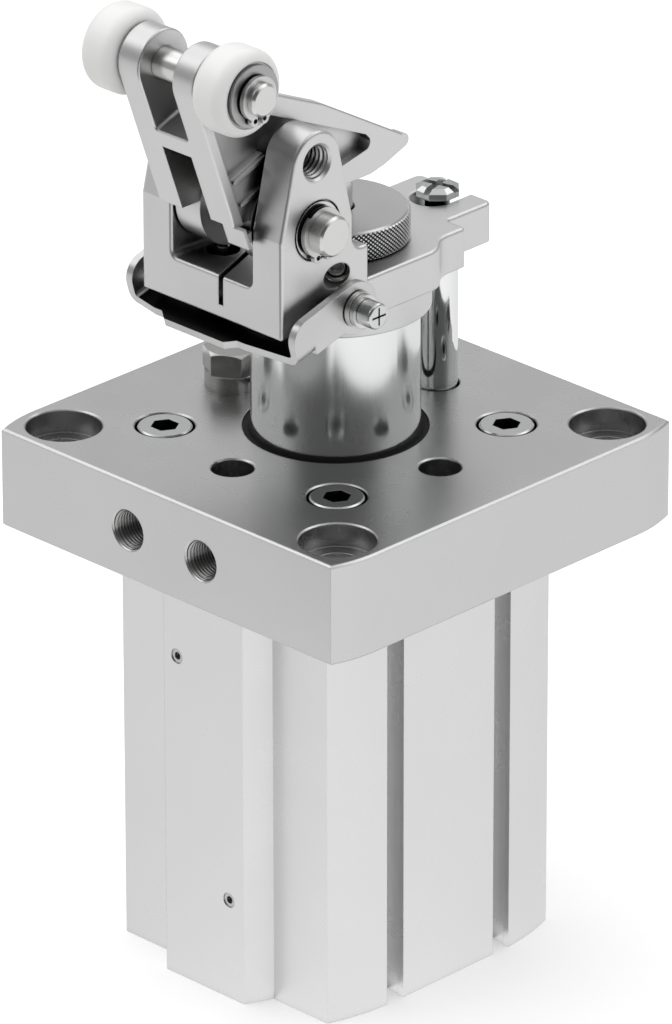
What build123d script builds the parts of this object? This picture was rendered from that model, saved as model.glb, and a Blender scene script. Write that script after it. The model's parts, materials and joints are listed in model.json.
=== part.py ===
# Stopper cylinder: a square flange on a profiled barrel, a hollow piston rod with a built-in shock
# absorber, and a yoke on the rod that carries a toggle lever with two rollers.
# Millimetres. The origin is the centre of the flange's underside, the face that is bolted down.
# +Z runs up along the piston rod, and the rollers face -Y, where the goods come from.
# Heights named h_... are measured from the flange's top face, called the deck.
import math
import os

from build123d import *

os.makedirs("parts", exist_ok=True)

# Clearances, per side
slip = 0.02  # pieces pressed or screwed together
running = 0.05  # shafts that turn or slide in their bores
free = 0.3  # moving pieces that pass without touching

# Flange
flange_side = 113.0
deck = 25.0  # thickness of the flange, so also the height of its top face
flange_rounding_y = 44.0  # where a side face starts to curve in
flange_corner_inset = 2.4  # how far the curve has come in at the front and rear faces
flange_edge_break = 0.5
mount_pitch = 90.0
mount_hole_r = 5.5
mount_head_r = 9.0
mount_head_depth = 5.9
mouth_break = 0.35  # chamfer round the mouth of a drilled hole
cap_circle_r = 40.0  # the flange screws, on the diagonals
cap_recess_r = 7.1
cap_head_r = 6.5
cap_head_height = 8.0
cap_thread_r = 4.0
cap_length = 40.0
cap_key = 6.0
cap_key_depth = 4.0
guide_circle_r = 34.0
side_hole_r = 5.0
side_hole_depth = 12.0
port_x = 12.0
port_thread_r = 4.86
port_thread_depth = 11.0
port_mouth_r = 5.25
passage_r = 3.0
channel_r = 2.25
channel_y = -36.0

# Barrel
barrel_length = 107.0
barrel_half = 37.3
barrel_corner_y = 20.0  # where the corner's curve starts on the side faces
barrel_corner_mid = (35.9, 30.2)
barrel_corner_x = 33.8  # where it ends on the front and rear faces
strip_half = 13.0
strip_foot = 16.0
strip_face = 44.2
slot_y = 18.0
slot_mouth = 5.5
slot_width = 6.5
slot_lip = 1.8
slot_depth = 5.9
bore_r = 25.0
guide_pocket_r = 5.5
guide_pocket_depth = 40.0
upper_drilling = (-8.7, -48.0)  # place across the strip, and height from the deck
lower_drilling = (8.1, -106.1)
drilling_r = 1.5
plug_r = 1.85
plug_length = 3.4
plug_sink = 0.25

# Piston rod and piston
stroke = 30.0
rod_r = 20.0
rod_hollow_r = 13.0
rod_floor = 20.0
h_piston_top = -51.0
piston_height = 24.0
piston_chamfer = 0.8
seal_groove = (4.0, 3.0)  # width and depth
seal_from_top = 2.5
magnet_groove = (4.0, 3.5)
magnet_from_top = 11.0
piston_screw_r = 6.0
piston_screw_head_r = 9.0
piston_screw_head = 10.0
piston_screw_length = 26.0
piston_screw_tip = 1.0  # room left beyond the screw's end
piston_screw_key = 10.0
piston_screw_key_depth = 5.0

# Rod guide in the flange
spigot_length = 18.0
spigot_r = bore_r - running
wiper_r = 22.0
wiper_height = 5.0
wiper_land = 1.5
wiper_lip = 0.6
bearing_r = 22.0
rod_seal_height = 6.0

# Bottom cover
buffer_height = 4.8
buffer_r = (14.0, 20.0)
h_cover_top = -110.0
cover_height = 14.0
cover_ring_from_top = 5.0
cover_ring_r = 1.3
cover_clip_thickness = 2.0
cover_clip_bite = 1.3
cover_clip_width = 3.6
cover_lug_r = 3.0
cover_lug_hole_r = 1.25
cover_lug_angle = 12.0

# Hexagon plug beside the rod
hex_collar_r = 6.9
hex_collar_height = 4.0
hex_across_flats = 13.0
hex_height = 5.7

# Yoke on the rod's head
retracted_gap = 2.0
skirt_r = 22.5
skirt_height = 6.2
base_thickness = 9.8
base_front_y = -16.0
yoke_half = 22.7
yoke_front_y = -40.5
yoke_relief = 2.5  # how much higher the yoke's underside lies than the base plate's
floor_step = 3.3
ear_inner = 13.0
ear_back_y = -12.1
ear_neck_y = -17.2
h_ear_front_bend = 65.0
h_ear_ledge = 56.6
ear_neck_height = 8.7
ear_top_r = 7.5
ear_thread = (-28.8, 81.8)
ear_thread_r = 4.0
ear_thread_mouth = 0.7
ledge_fillet = 3.0
cast_edge = 0.8
floor_fillet = 1.8
waist_start_y = 8.3
waist_end_y = 19.3
waist_half = 18.2
arm_step_y = 24.9
arm_half = 12.0
arm_end_y = 40.3
arm_slot_r = 4.95
arm_slot_y = 32.2
arm_corner_fillet = 2.0
arm_step_fillet = 1.2
rod_socket_depth = 12.0
core_half = 12.0  # cavity cast under the yoke's floor
core_front_y = -36.0
core_back_y = -25.0
h_core_top = 45.5
relief_slit = 1.4
slit_start_x = 3.05
slit_end = (-2.6, -25.8)
h_slit_bottom = 44.1
slit_length = 28.0
h_lock_screw = 51.9  # height of the set screw that holds the knob
lock_screw_r = 3.0
lock_screw_length = 10.0
lock_screw_key = 3.0
lock_screw_key_depth = 3.0

# Lever pin
pivot_y = -28.7
h_pivot = 65.1
pin_r = 4.9
pin_half = 28.6
pin_chamfer = 0.6
pin_clip_recess_r = 7.4
pin_clip_recess = 1.0
pin_washer_play = 0.5
pin_clip_gap = 0.7  # between the washer and the clip
pin_clip_r = 6.1
pin_clip_thickness = 1.2
clip_lug_r = 1.35
clip_lug_hole_r = 0.6
clip_lug_angle = 16.0
clip_groove = 0.35

# Toggle lever
lever_half = 12.2
lever_channel = 4.7
fork_half = 5.3
fork_fillet = 1.0
lever_edge = 0.5
axle_y = -49.9
h_axle = 104.6
eye_r = 8.0
lever_foot = (-45.1, 67.4)  # front lower corner of the legs
beak_knee = (-16.0, 89.4)
beak_nose_top = (9.9, 74.3)
beak_nose = (11.7, 72.3)
beak_nose_low = (10.4, 71.0)
beak_belly = (4.0, 68.6)
beak_sole = (-1.0, 67.5)
beak_root = (-14.0, 67.5)
crossbar_up = 22.8  # along the front edge, from the foot
crossbar_thickness = 4.6
channel_back = 30.0  # from the front edge, square to it
channel_skin = 4.6
hub_r = 11.2
left_hub_inner = 4.2
right_hub_inner = 8.4
pocket_depth = 3.0
lower_pocket_depth = 1.0
front_rim = 2.8
pocket_head = 27.0
top_rim = 4.85
pocket_tip = ((43.8, -4.6), (44.8, -6.9), (43.2, -8.4))  # back from the front edge, and up from the foot
pocket_sole = (34.6, -7.2)
pocket_fillet = 1.5
rib_width = 1.0
rib_height = 0.8
rib_length = 12.0
rib_gap = 1.0  # from the front rim to the rib's round end
rib_places = (3.6, 10.1)  # along the front edge, from the foot
beak_step = 2.2  # how much lower the beak's top lies beside the right cheek
beak_step_y = -31.0
stop_lip_outer = 15.0
stop_lip = 1.0
stop_lip_drop = 5.5
stop_core_outer = 13.5
stop_core_drop = 3.0
stop_gap = 0.3

# Rollers
axle_r = 4.0
axle_half = 27.4
roller_r = 10.5
roller_inner = 12.8
roller_outer = 23.0
roller_rounding = 3.0
roller_recess_r = 7.9
roller_recess = 0.5
roller_washer_r = 7.4
roller_washer = 0.9
roller_clip_gap = 0.5  # between the washer and the clip
roller_clip_r = 5.3

# Shock absorber in the rod, its plunger and its adjusting knob
absorber_r = 12.0
absorber_length = 70.0
plunger_r = 4.0
h_plunger_top = 67.2
plunger_crown = 1.6
plunger_length = 46.0
knob_r = 17.5
knob_height = 7.7
knob_edge = 0.6
knob_pocket = 0.5
knob_stem_r = 10.5

# Guide rod beside the piston rod
guide_r = 5.0
guide_end_depth = 26.0
guide_bush_r = 7.5
guide_bush_drop = 3.0
guide_neck_r = 3.0
guide_screw_r = 5.5
guide_screw_head = 2.8
guide_screw_bevel = 1.05
guide_screw_thread_r = 2.5
guide_screw_length = 18.0
guide_screw_slot = 2.2
guide_screw_slot_depth = 1.3
guide_screw_turn = 11.0

# Release bail under the yoke
bail_y = -20.85
h_bail = 44.7
bail_tilt = 15.8  # the arms lean down towards the front
bail_sheet = 2.0
bail_arm_inner = 25.5
bail_eye_r = 6.4
bail_front = 20.5
bail_lip = 1.1
bail_corner_r = 5.0
bail_drop = 3.7
bail_plate_back = 14.5
bail_bend_r = 3.0  # outside of the bends between the plate and the arms
tongue_left = -13.1
tongue_right = 6.2
tongue_reach = 3.1
tongue_jog = 2.6
tab_half = 3.0
tab_back = 6.5

# Screws and bushes that carry the bail
bail_bush_r = 3.4
bail_collar_r = 4.4
bail_thread_r = 2.5
bail_thread_depth = 10.0
bail_washer = 1.35
bail_washer_gap = 0.1
bail_washer_count = 2
bail_screw_head_r = 3.2
bail_screw_face = 34.6
bail_head_rounding = 0.7
bail_cross = (4.4, 0.5)  # length and width of the cross recess's bars
bail_cross_depth = 1.2

# Locking pin in the yoke's floor
lock_pin_x = -7.8
lock_pin_y = -29.0
lock_pin_r = 1.6
lock_pin_hole_r = 4.0
lock_pin_hole_depth = 3.0
lock_pin_rise = 1.4  # above the yoke's floor
lock_pin_collar_r = 2.4
lock_pin_collar = 0.8
lock_pin_gap = 0.3


# Heights above the deck that follow from the sizes above
h_skirt = stroke + retracted_gap
h_base = h_skirt + skirt_height
h_base_top = h_base + base_thickness
h_yoke = h_base + yoke_relief
h_floor = h_base_top + floor_step
h_ear_back_bend = h_ear_ledge + ear_neck_height
h_rod_top = h_skirt + rod_socket_depth
h_cover_bottom = h_cover_top - cover_height
h_piston_bottom = h_piston_top - piston_height
h_spigot_end = -deck - spigot_length
h_bearing_top = -wiper_height - wiper_land - rod_seal_height
cap_pitch = 2 * cap_circle_r * math.cos(math.radians(45))
inf_cut = 3 * barrel_length  # longer than any piece, for cuts that go right through


def level(height):
    """Horizontal plane at a height above the deck."""
    return Plane.XY.offset(deck + height)


def side_view(x):
    """Upright plane at x, seen from the side: across is Y and up is the height above the deck."""
    return Plane(origin=(x, 0, deck), x_dir=(0, 1, 0), z_dir=(1, 0, 0))


def cross_axis(y, height):
    """Axis along X, for the pins, axles and rollers that turn about it."""
    return Axis((0, y, deck + height), (1, 0, 0))


def cross_section(y, height):
    """Plane for profiles turned about a cross axis: along is X and up is the radius."""
    return Plane(origin=(0, y, deck + height), x_dir=(1, 0, 0), z_dir=(0, -1, 0))


def along(start, direction, distance):
    """Point at a distance from start along a direction given in degrees."""
    angle = math.radians(direction)
    return (start[0] + distance * math.cos(angle), start[1] + distance * math.sin(angle))


def tangent_point(outside, centre, radius, side):
    """Point where a line from outside touches a circle, on its left (1) or right (-1) side."""
    reach = math.dist(outside, centre)
    heading = math.atan2(centre[1] - outside[1], centre[0] - outside[0])
    angle = heading + side * math.asin(radius / reach)
    length = math.sqrt(reach**2 - radius**2)
    return (outside[0] + length * math.cos(angle), outside[1] + length * math.sin(angle))


def save(name, label):
    """Label a finished piece and write it."""
    name.part.label = label
    export_step(name.part, f"parts/{label}.step")


# Barrel: one extruded profile with a raised strip front and rear and sensor slots in both sides
with BuildPart() as barrel_profile:
    with BuildSketch(Plane.XY.offset(-barrel_length)):
        with BuildLine():
            Line((0, strip_face), (strip_half, strip_face))
            Line((strip_half, strip_face), (strip_foot, barrel_half))
            Line((strip_foot, barrel_half), (barrel_corner_x, barrel_half))
            ThreePointArc(
                (barrel_corner_x, barrel_half), barrel_corner_mid, (barrel_half, barrel_corner_y)
            )
            Line((barrel_half, barrel_corner_y), (barrel_half, 0))
            Line((barrel_half, 0), (0, 0))
            Line((0, 0), (0, strip_face))
        make_face()
        with Locations((barrel_half - slot_lip / 2, slot_y)):
            Rectangle(slot_lip, slot_mouth, mode=Mode.SUBTRACT)
        with Locations((barrel_half - (slot_lip + slot_depth) / 2, slot_y)):
            Rectangle(slot_depth - slot_lip, slot_width, mode=Mode.SUBTRACT)
        mirror(about=Plane.XZ)
        mirror(about=Plane.YZ)
        Circle(bore_r, mode=Mode.SUBTRACT)
    extrude(amount=barrel_length)
    # Groove for the ring that holds the bottom cover
    with BuildSketch(level(h_cover_bottom - cover_clip_thickness - slip)):
        Circle(bore_r + cover_clip_bite)
    extrude(amount=cover_clip_thickness + 2 * slip, mode=Mode.SUBTRACT)
    # Pocket that the guide rod sinks into
    with BuildSketch():
        with Locations((0, guide_circle_r)):
            Circle(guide_pocket_r)
    extrude(amount=-guide_pocket_depth, mode=Mode.SUBTRACT)
    # Threads for the flange screws
    with BuildSketch():
        with GridLocations(cap_pitch, cap_pitch, 2, 2):
            Circle(cap_thread_r + slip)
    extrude(amount=deck - cap_head_height - cap_length - slip, mode=Mode.SUBTRACT)
    # Air channels down the front strip, and the drillings that lead from them into the bore
    for place, height in (upper_drilling, lower_drilling):
        with BuildSketch():
            with Locations((place, channel_y)):
                Circle(channel_r)
        extrude(amount=deck + height, mode=Mode.SUBTRACT)
        with BuildSketch(Plane.XZ.offset(strip_face)):
            with Locations((place, deck + height)):
                Circle(drilling_r)
        extrude(amount=-(strip_face - bore_r / 2), mode=Mode.SUBTRACT)
        with BuildSketch(Plane.XZ.offset(strip_face)):
            with Locations((place, deck + height)):
                Circle(plug_r + slip)
        extrude(amount=-(plug_length + plug_sink), mode=Mode.SUBTRACT)
save(barrel_profile, "barrel_profile")

# Expander plugs that close the two drillings
with BuildPart() as channel_plugs:
    for place, height in (upper_drilling, lower_drilling):
        with BuildSketch(Plane.XZ.offset(strip_face - plug_sink)):
            with Locations((place, deck + height)):
                Circle(plug_r)
        extrude(amount=-plug_length)
        with BuildSketch(Plane.XZ.offset(strip_face - plug_sink)):
            with Locations((place, deck + height)):
                Circle(plug_r / 2)
        extrude(amount=-plug_length / 4, mode=Mode.SUBTRACT)
save(channel_plugs, "channel_plugs")

# Flange, which is also the rod's bearing cap
with BuildPart() as flange_plate:
    with BuildSketch():
        with BuildLine():
            half = flange_side / 2
            Line((0, half), (half - flange_corner_inset, half))
            TangentArc(
                (half, flange_rounding_y), (half - flange_corner_inset, half), tangent=(0, 1)
            )
            Line((half, flange_rounding_y), (half, 0))
            Line((half, 0), (0, 0))
            Line((0, 0), (0, half))
        make_face()
        mirror(about=Plane.XZ)
        mirror(about=Plane.YZ)
    extrude(amount=deck)
    rims = flange_plate.faces().sort_by(Axis.Z)
    chamfer(rims[0].edges() + rims[-1].edges(), length=flange_edge_break)
    with BuildSketch():
        Circle(spigot_r)
    extrude(amount=-spigot_length)
    # Bore for the wiper above, and for the rod seal and the bearing below
    with BuildSketch(level(0)):
        Circle(wiper_r + slip)
    extrude(amount=-wiper_height, mode=Mode.SUBTRACT)
    with BuildSketch(level(h_spigot_end)):
        Circle(bearing_r + slip)
    extrude(amount=h_bearing_top + rod_seal_height - h_spigot_end, mode=Mode.SUBTRACT)
    with BuildSketch(level(0)):
        Circle(rod_r + free)
    extrude(amount=-inf_cut, mode=Mode.SUBTRACT)
    # Mounting holes
    with Locations(level(0)):
        with GridLocations(mount_pitch, mount_pitch, 2, 2):
            CounterBoreHole(mount_hole_r, mount_head_r, mount_head_depth)
    mouths = flange_plate.edges().filter_by(GeomType.CIRCLE).group_by(Axis.Z)[-1]
    chamfer(mouths.filter_by(lambda e: abs(e.radius - mount_head_r) < slip), length=mouth_break)
    # Recesses of the flange screws
    with Locations(level(0)):
        with GridLocations(cap_pitch, cap_pitch, 2, 2):
            CounterBoreHole(cap_thread_r + free, cap_recess_r, cap_head_height)
    mouths = flange_plate.edges().filter_by(GeomType.CIRCLE).group_by(Axis.Z)[-1]
    chamfer(mouths.filter_by(lambda e: abs(e.radius - cap_recess_r) < slip), length=mouth_break)
    # Holes on the guide circle: the plug's, two open ones and the guide rod's
    with Locations(level(0)):
        with Locations((-guide_circle_r, 0), (guide_circle_r, 0), (0, -guide_circle_r)):
            Hole(side_hole_r, depth=side_hole_depth)
        with Locations((0, guide_circle_r)):
            Hole(guide_r + free)
    with BuildSketch():
        with Locations((0, guide_circle_r)):
            Circle(guide_bush_r + slip)
    extrude(amount=deck - guide_bush_drop, mode=Mode.SUBTRACT)
    mouths = flange_plate.edges().filter_by(GeomType.CIRCLE).group_by(Axis.Z)[-1]
    chamfer(
        mouths.filter_by(lambda e: side_hole_r - slip < e.radius < guide_r + 2 * free),
        length=mouth_break,
    )
    # Air ports in the front face, with their channels down into the barrel
    for side, (place, height) in ((-1, upper_drilling), (1, lower_drilling)):
        with BuildSketch(Plane.XZ.offset(flange_side / 2)):
            with Locations((side * port_x, deck / 2)):
                Circle(port_thread_r)
        extrude(amount=-port_thread_depth, mode=Mode.SUBTRACT)
        with BuildSketch(Plane.XZ.offset(flange_side / 2)):
            with Locations((side * port_x, deck / 2)):
                Circle(passage_r)
        extrude(amount=-(flange_side / 2 + channel_y), mode=Mode.SUBTRACT)
        with BuildSketch():
            with Locations((place, channel_y)):
                Circle(channel_r)
        extrude(amount=deck / 2, mode=Mode.SUBTRACT)
    fronts = flange_plate.edges().filter_by(GeomType.CIRCLE).group_by(Axis.Y)[0]
    chamfer(
        fronts.filter_by(lambda e: abs(e.radius - port_thread_r) < slip),
        length=port_mouth_r - port_thread_r,
    )
save(flange_plate, "flange_plate")

# Flange screws: four cap screws with hexagon sockets, flush with the deck
with BuildPart() as flange_screws:
    with BuildSketch(level(0)):
        with GridLocations(cap_pitch, cap_pitch, 2, 2):
            Circle(cap_head_r)
    extrude(amount=-cap_head_height)
    crowns = flange_screws.faces().group_by(Axis.Z)[-1].edges()
    chamfer(crowns, length=mouth_break)
    with BuildSketch(level(0)):
        with GridLocations(cap_pitch, cap_pitch, 2, 2):
            RegularPolygon(cap_key / 2, 6, major_radius=False)
    extrude(amount=-cap_key_depth, mode=Mode.SUBTRACT)
    with BuildSketch(level(-cap_head_height)):
        with GridLocations(cap_pitch, cap_pitch, 2, 2):
            Circle(cap_thread_r)
    extrude(amount=-cap_length)
save(flange_screws, "flange_screws")

# Wiper ring round the rod, with a raised lip
with BuildPart() as rod_wiper:
    with BuildSketch(Plane.XZ):
        with BuildLine():
            Polyline(
                (wiper_r, deck - wiper_height),
                (rod_r + free, deck - wiper_height),
                (rod_r + running, deck + wiper_lip),
                (rod_r + free, deck + wiper_lip),
                (rod_r + 2 * free, deck - free),
                (wiper_r, deck - free),
                close=True,
            )
        make_face()
    revolve(axis=Axis.Z)
save(rod_wiper, "rod_wiper")

# Rod seal, clamped between the wiper's land and the bearing
with BuildPart() as rod_seal:
    with BuildSketch(level(h_bearing_top)):
        Circle(bearing_r)
        Circle(rod_r + running, mode=Mode.SUBTRACT)
    extrude(amount=rod_seal_height)
save(rod_seal, "rod_seal")

# Plain bearing that guides the rod
with BuildPart() as rod_bearing:
    with BuildSketch(level(h_spigot_end)):
        Circle(bearing_r)
        Circle(rod_r + running, mode=Mode.SUBTRACT)
    extrude(amount=h_bearing_top - h_spigot_end)
save(rod_bearing, "rod_bearing")

# Bush that guides the guide rod, pressed in from below
with BuildPart() as guide_bush:
    with BuildSketch():
        with Locations((0, guide_circle_r)):
            Circle(guide_bush_r)
            Circle(guide_r + running, mode=Mode.SUBTRACT)
    extrude(amount=deck - guide_bush_drop)
save(guide_bush, "guide_bush")

# Hexagon plug beside the rod, on a round collar
with BuildPart() as hex_plug:
    with BuildSketch(level(0)):
        with Locations((-guide_circle_r, 0)):
            Circle(hex_collar_r)
    extrude(amount=hex_collar_height)
    with BuildSketch(level(hex_collar_height)):
        with Locations((-guide_circle_r, 0)):
            RegularPolygon(hex_across_flats / 2, 6, major_radius=False, rotation=30)
    extrude(amount=hex_height)
    # The hexagon's corners are turned off at thirty degrees
    with BuildSketch(Plane.XZ):
        with BuildLine():
            crown_r = hex_across_flats / 2
            corner_r = crown_r / math.cos(math.radians(30)) + slip
            crown_z = deck + hex_collar_height + hex_height
            fall = (corner_r - crown_r) * math.tan(math.radians(30))
            Polyline(
                (-guide_circle_r + crown_r, crown_z),
                (-guide_circle_r + corner_r, crown_z - fall),
                (-guide_circle_r + corner_r, crown_z),
                close=True,
            )
        make_face()
    revolve(axis=Axis((-guide_circle_r, 0, 0), (0, 0, 1)), mode=Mode.SUBTRACT)
    with BuildSketch(level(0)):
        with Locations((-guide_circle_r, 0)):
            Circle(side_hole_r - slip)
    extrude(amount=-side_hole_depth + slip)
save(hex_plug, "hex_plug")

# Bottom cover in the barrel's end, with a groove for its sealing ring
with BuildPart() as bottom_cover:
    with BuildSketch(level(h_cover_bottom)):
        Circle(bore_r - slip)
    extrude(amount=cover_height)
    chamfer(bottom_cover.edges(), length=flange_edge_break)
    with BuildSketch(level(h_cover_top - cover_ring_from_top - cover_ring_r)):
        Circle(bore_r)
        Circle(bore_r - 2 * cover_ring_r - 2 * slip, mode=Mode.SUBTRACT)
    extrude(amount=2 * cover_ring_r, mode=Mode.SUBTRACT)
save(bottom_cover, "bottom_cover")

with BuildPart() as cover_seal:
    with BuildSketch(Plane.XZ):
        with Locations((bore_r - cover_ring_r - slip, deck + h_cover_top - cover_ring_from_top)):
            Circle(cover_ring_r - slip)
    revolve(axis=Axis.Z)
save(cover_seal, "cover_seal")

# Sprung ring that keeps the cover in
with BuildPart() as cover_clip:
    with BuildSketch(level(h_cover_bottom - cover_clip_thickness)):
        Circle(bore_r + cover_clip_bite - slip)
        Circle(bore_r + cover_clip_bite - cover_clip_width, mode=Mode.SUBTRACT)
        lug_circle_r = bore_r - cover_clip_width
        for turn in (-cover_lug_angle, cover_lug_angle):
            with Locations(along((0, 0), turn, lug_circle_r)):
                Circle(cover_lug_r)
        gap_half = lug_circle_r * math.sin(math.radians(cover_lug_angle)) - cover_lug_r / 2
        with Locations((bore_r, 0)):
            Rectangle(4 * cover_lug_r, 2 * gap_half, mode=Mode.SUBTRACT)
        for turn in (-cover_lug_angle, cover_lug_angle):
            with Locations(along((0, 0), turn, lug_circle_r)):
                Circle(cover_lug_hole_r, mode=Mode.SUBTRACT)
    extrude(amount=cover_clip_thickness)
save(cover_clip, "cover_clip")

# Elastic buffer that the piston lands on
with BuildPart() as end_buffer:
    with BuildSketch(level(h_cover_top)):
        Circle(buffer_r[1])
        Circle(buffer_r[0], mode=Mode.SUBTRACT)
    extrude(amount=buffer_height)
save(end_buffer, "end_buffer")

# Piston rod: a tube closed at its foot, which holds the shock absorber
with BuildPart() as piston_rod:
    with BuildSketch(level(h_piston_top)):
        Circle(rod_r)
    extrude(amount=h_rod_top - h_piston_top)
    with BuildSketch(level(h_rod_top)):
        Circle(rod_hollow_r)
    extrude(amount=-(h_rod_top - h_piston_top - rod_floor), mode=Mode.SUBTRACT)
    with BuildSketch(level(h_piston_top)):
        Circle(piston_screw_r + slip)
    extrude(
        amount=piston_screw_length + piston_screw_head - piston_height + piston_screw_tip,
        mode=Mode.SUBTRACT,
    )
save(piston_rod, "piston_rod")

# Piston with grooves for its seal and its magnet
with BuildPart() as piston:
    with BuildSketch(level(h_piston_bottom)):
        Circle(bore_r - running)
    extrude(amount=piston_height)
    chamfer(piston.edges(), length=piston_chamfer)
    for from_top, (width, depth) in (
        (seal_from_top, seal_groove),
        (magnet_from_top, magnet_groove),
    ):
        with BuildSketch(level(h_piston_top - from_top - width)):
            Circle(bore_r)
            Circle(bore_r - running - depth, mode=Mode.SUBTRACT)
        extrude(amount=width, mode=Mode.SUBTRACT)
    with BuildSketch(level(h_piston_top)):
        Circle(piston_screw_r + slip)
    extrude(amount=-piston_height, mode=Mode.SUBTRACT)
    with BuildSketch(level(h_piston_bottom)):
        Circle(piston_screw_head_r + slip)
    extrude(amount=piston_screw_head, mode=Mode.SUBTRACT)
save(piston, "piston")

# The piston's seal and the magnet ring that the sensors feel
for label, from_top, (width, depth) in (
    ("piston_seal", seal_from_top, seal_groove),
    ("magnet_ring", magnet_from_top, magnet_groove),
):
    with BuildPart() as ring:
        with BuildSketch(level(h_piston_top - from_top - width + slip)):
            Circle(bore_r - running)
            Circle(bore_r - running - depth + slip, mode=Mode.SUBTRACT)
        extrude(amount=width - 2 * slip)
    save(ring, label)

# Screw that holds the piston to the rod
with BuildPart() as piston_screw:
    with BuildSketch(level(h_piston_bottom)):
        Circle(piston_screw_head_r)
    extrude(amount=piston_screw_head)
    with BuildSketch(level(h_piston_bottom)):
        RegularPolygon(piston_screw_key / 2, 6, major_radius=False)
    extrude(amount=piston_screw_key_depth, mode=Mode.SUBTRACT)
    with BuildSketch(level(h_piston_bottom + piston_screw_head)):
        Circle(piston_screw_r)
    extrude(amount=piston_screw_length)
save(piston_screw, "piston_screw")

def at(place, *targets):
    """Whether a coordinate lies at one of the targets."""
    return any(abs(place - target) < slip for target in targets)


def is_cast_rim(edge):
    """Whether an edge of the yoke is one of those that the casting rounds off."""
    x, y, height = edge.center().X, edge.center().Y, edge.center().Z - deck
    ear_outside = at(x, yoke_half) and height > h_base_top + slip
    ear_inside = at(x, ear_inner) and height > h_floor + slip
    window = at(y, yoke_front_y, ear_back_y) and x < ear_inner + slip
    window = window and h_floor - slip < height < h_floor + floor_fillet
    base_top = at(height, h_base_top) and y > ear_back_y + slip
    bottom = at(height, h_yoke) and (at(y, yoke_front_y) or at(abs(x), yoke_half))
    ledge = at(height, h_ear_ledge) and at(y, ear_back_y)
    return ear_outside or ear_inside or window or base_top or bottom or ledge


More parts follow.
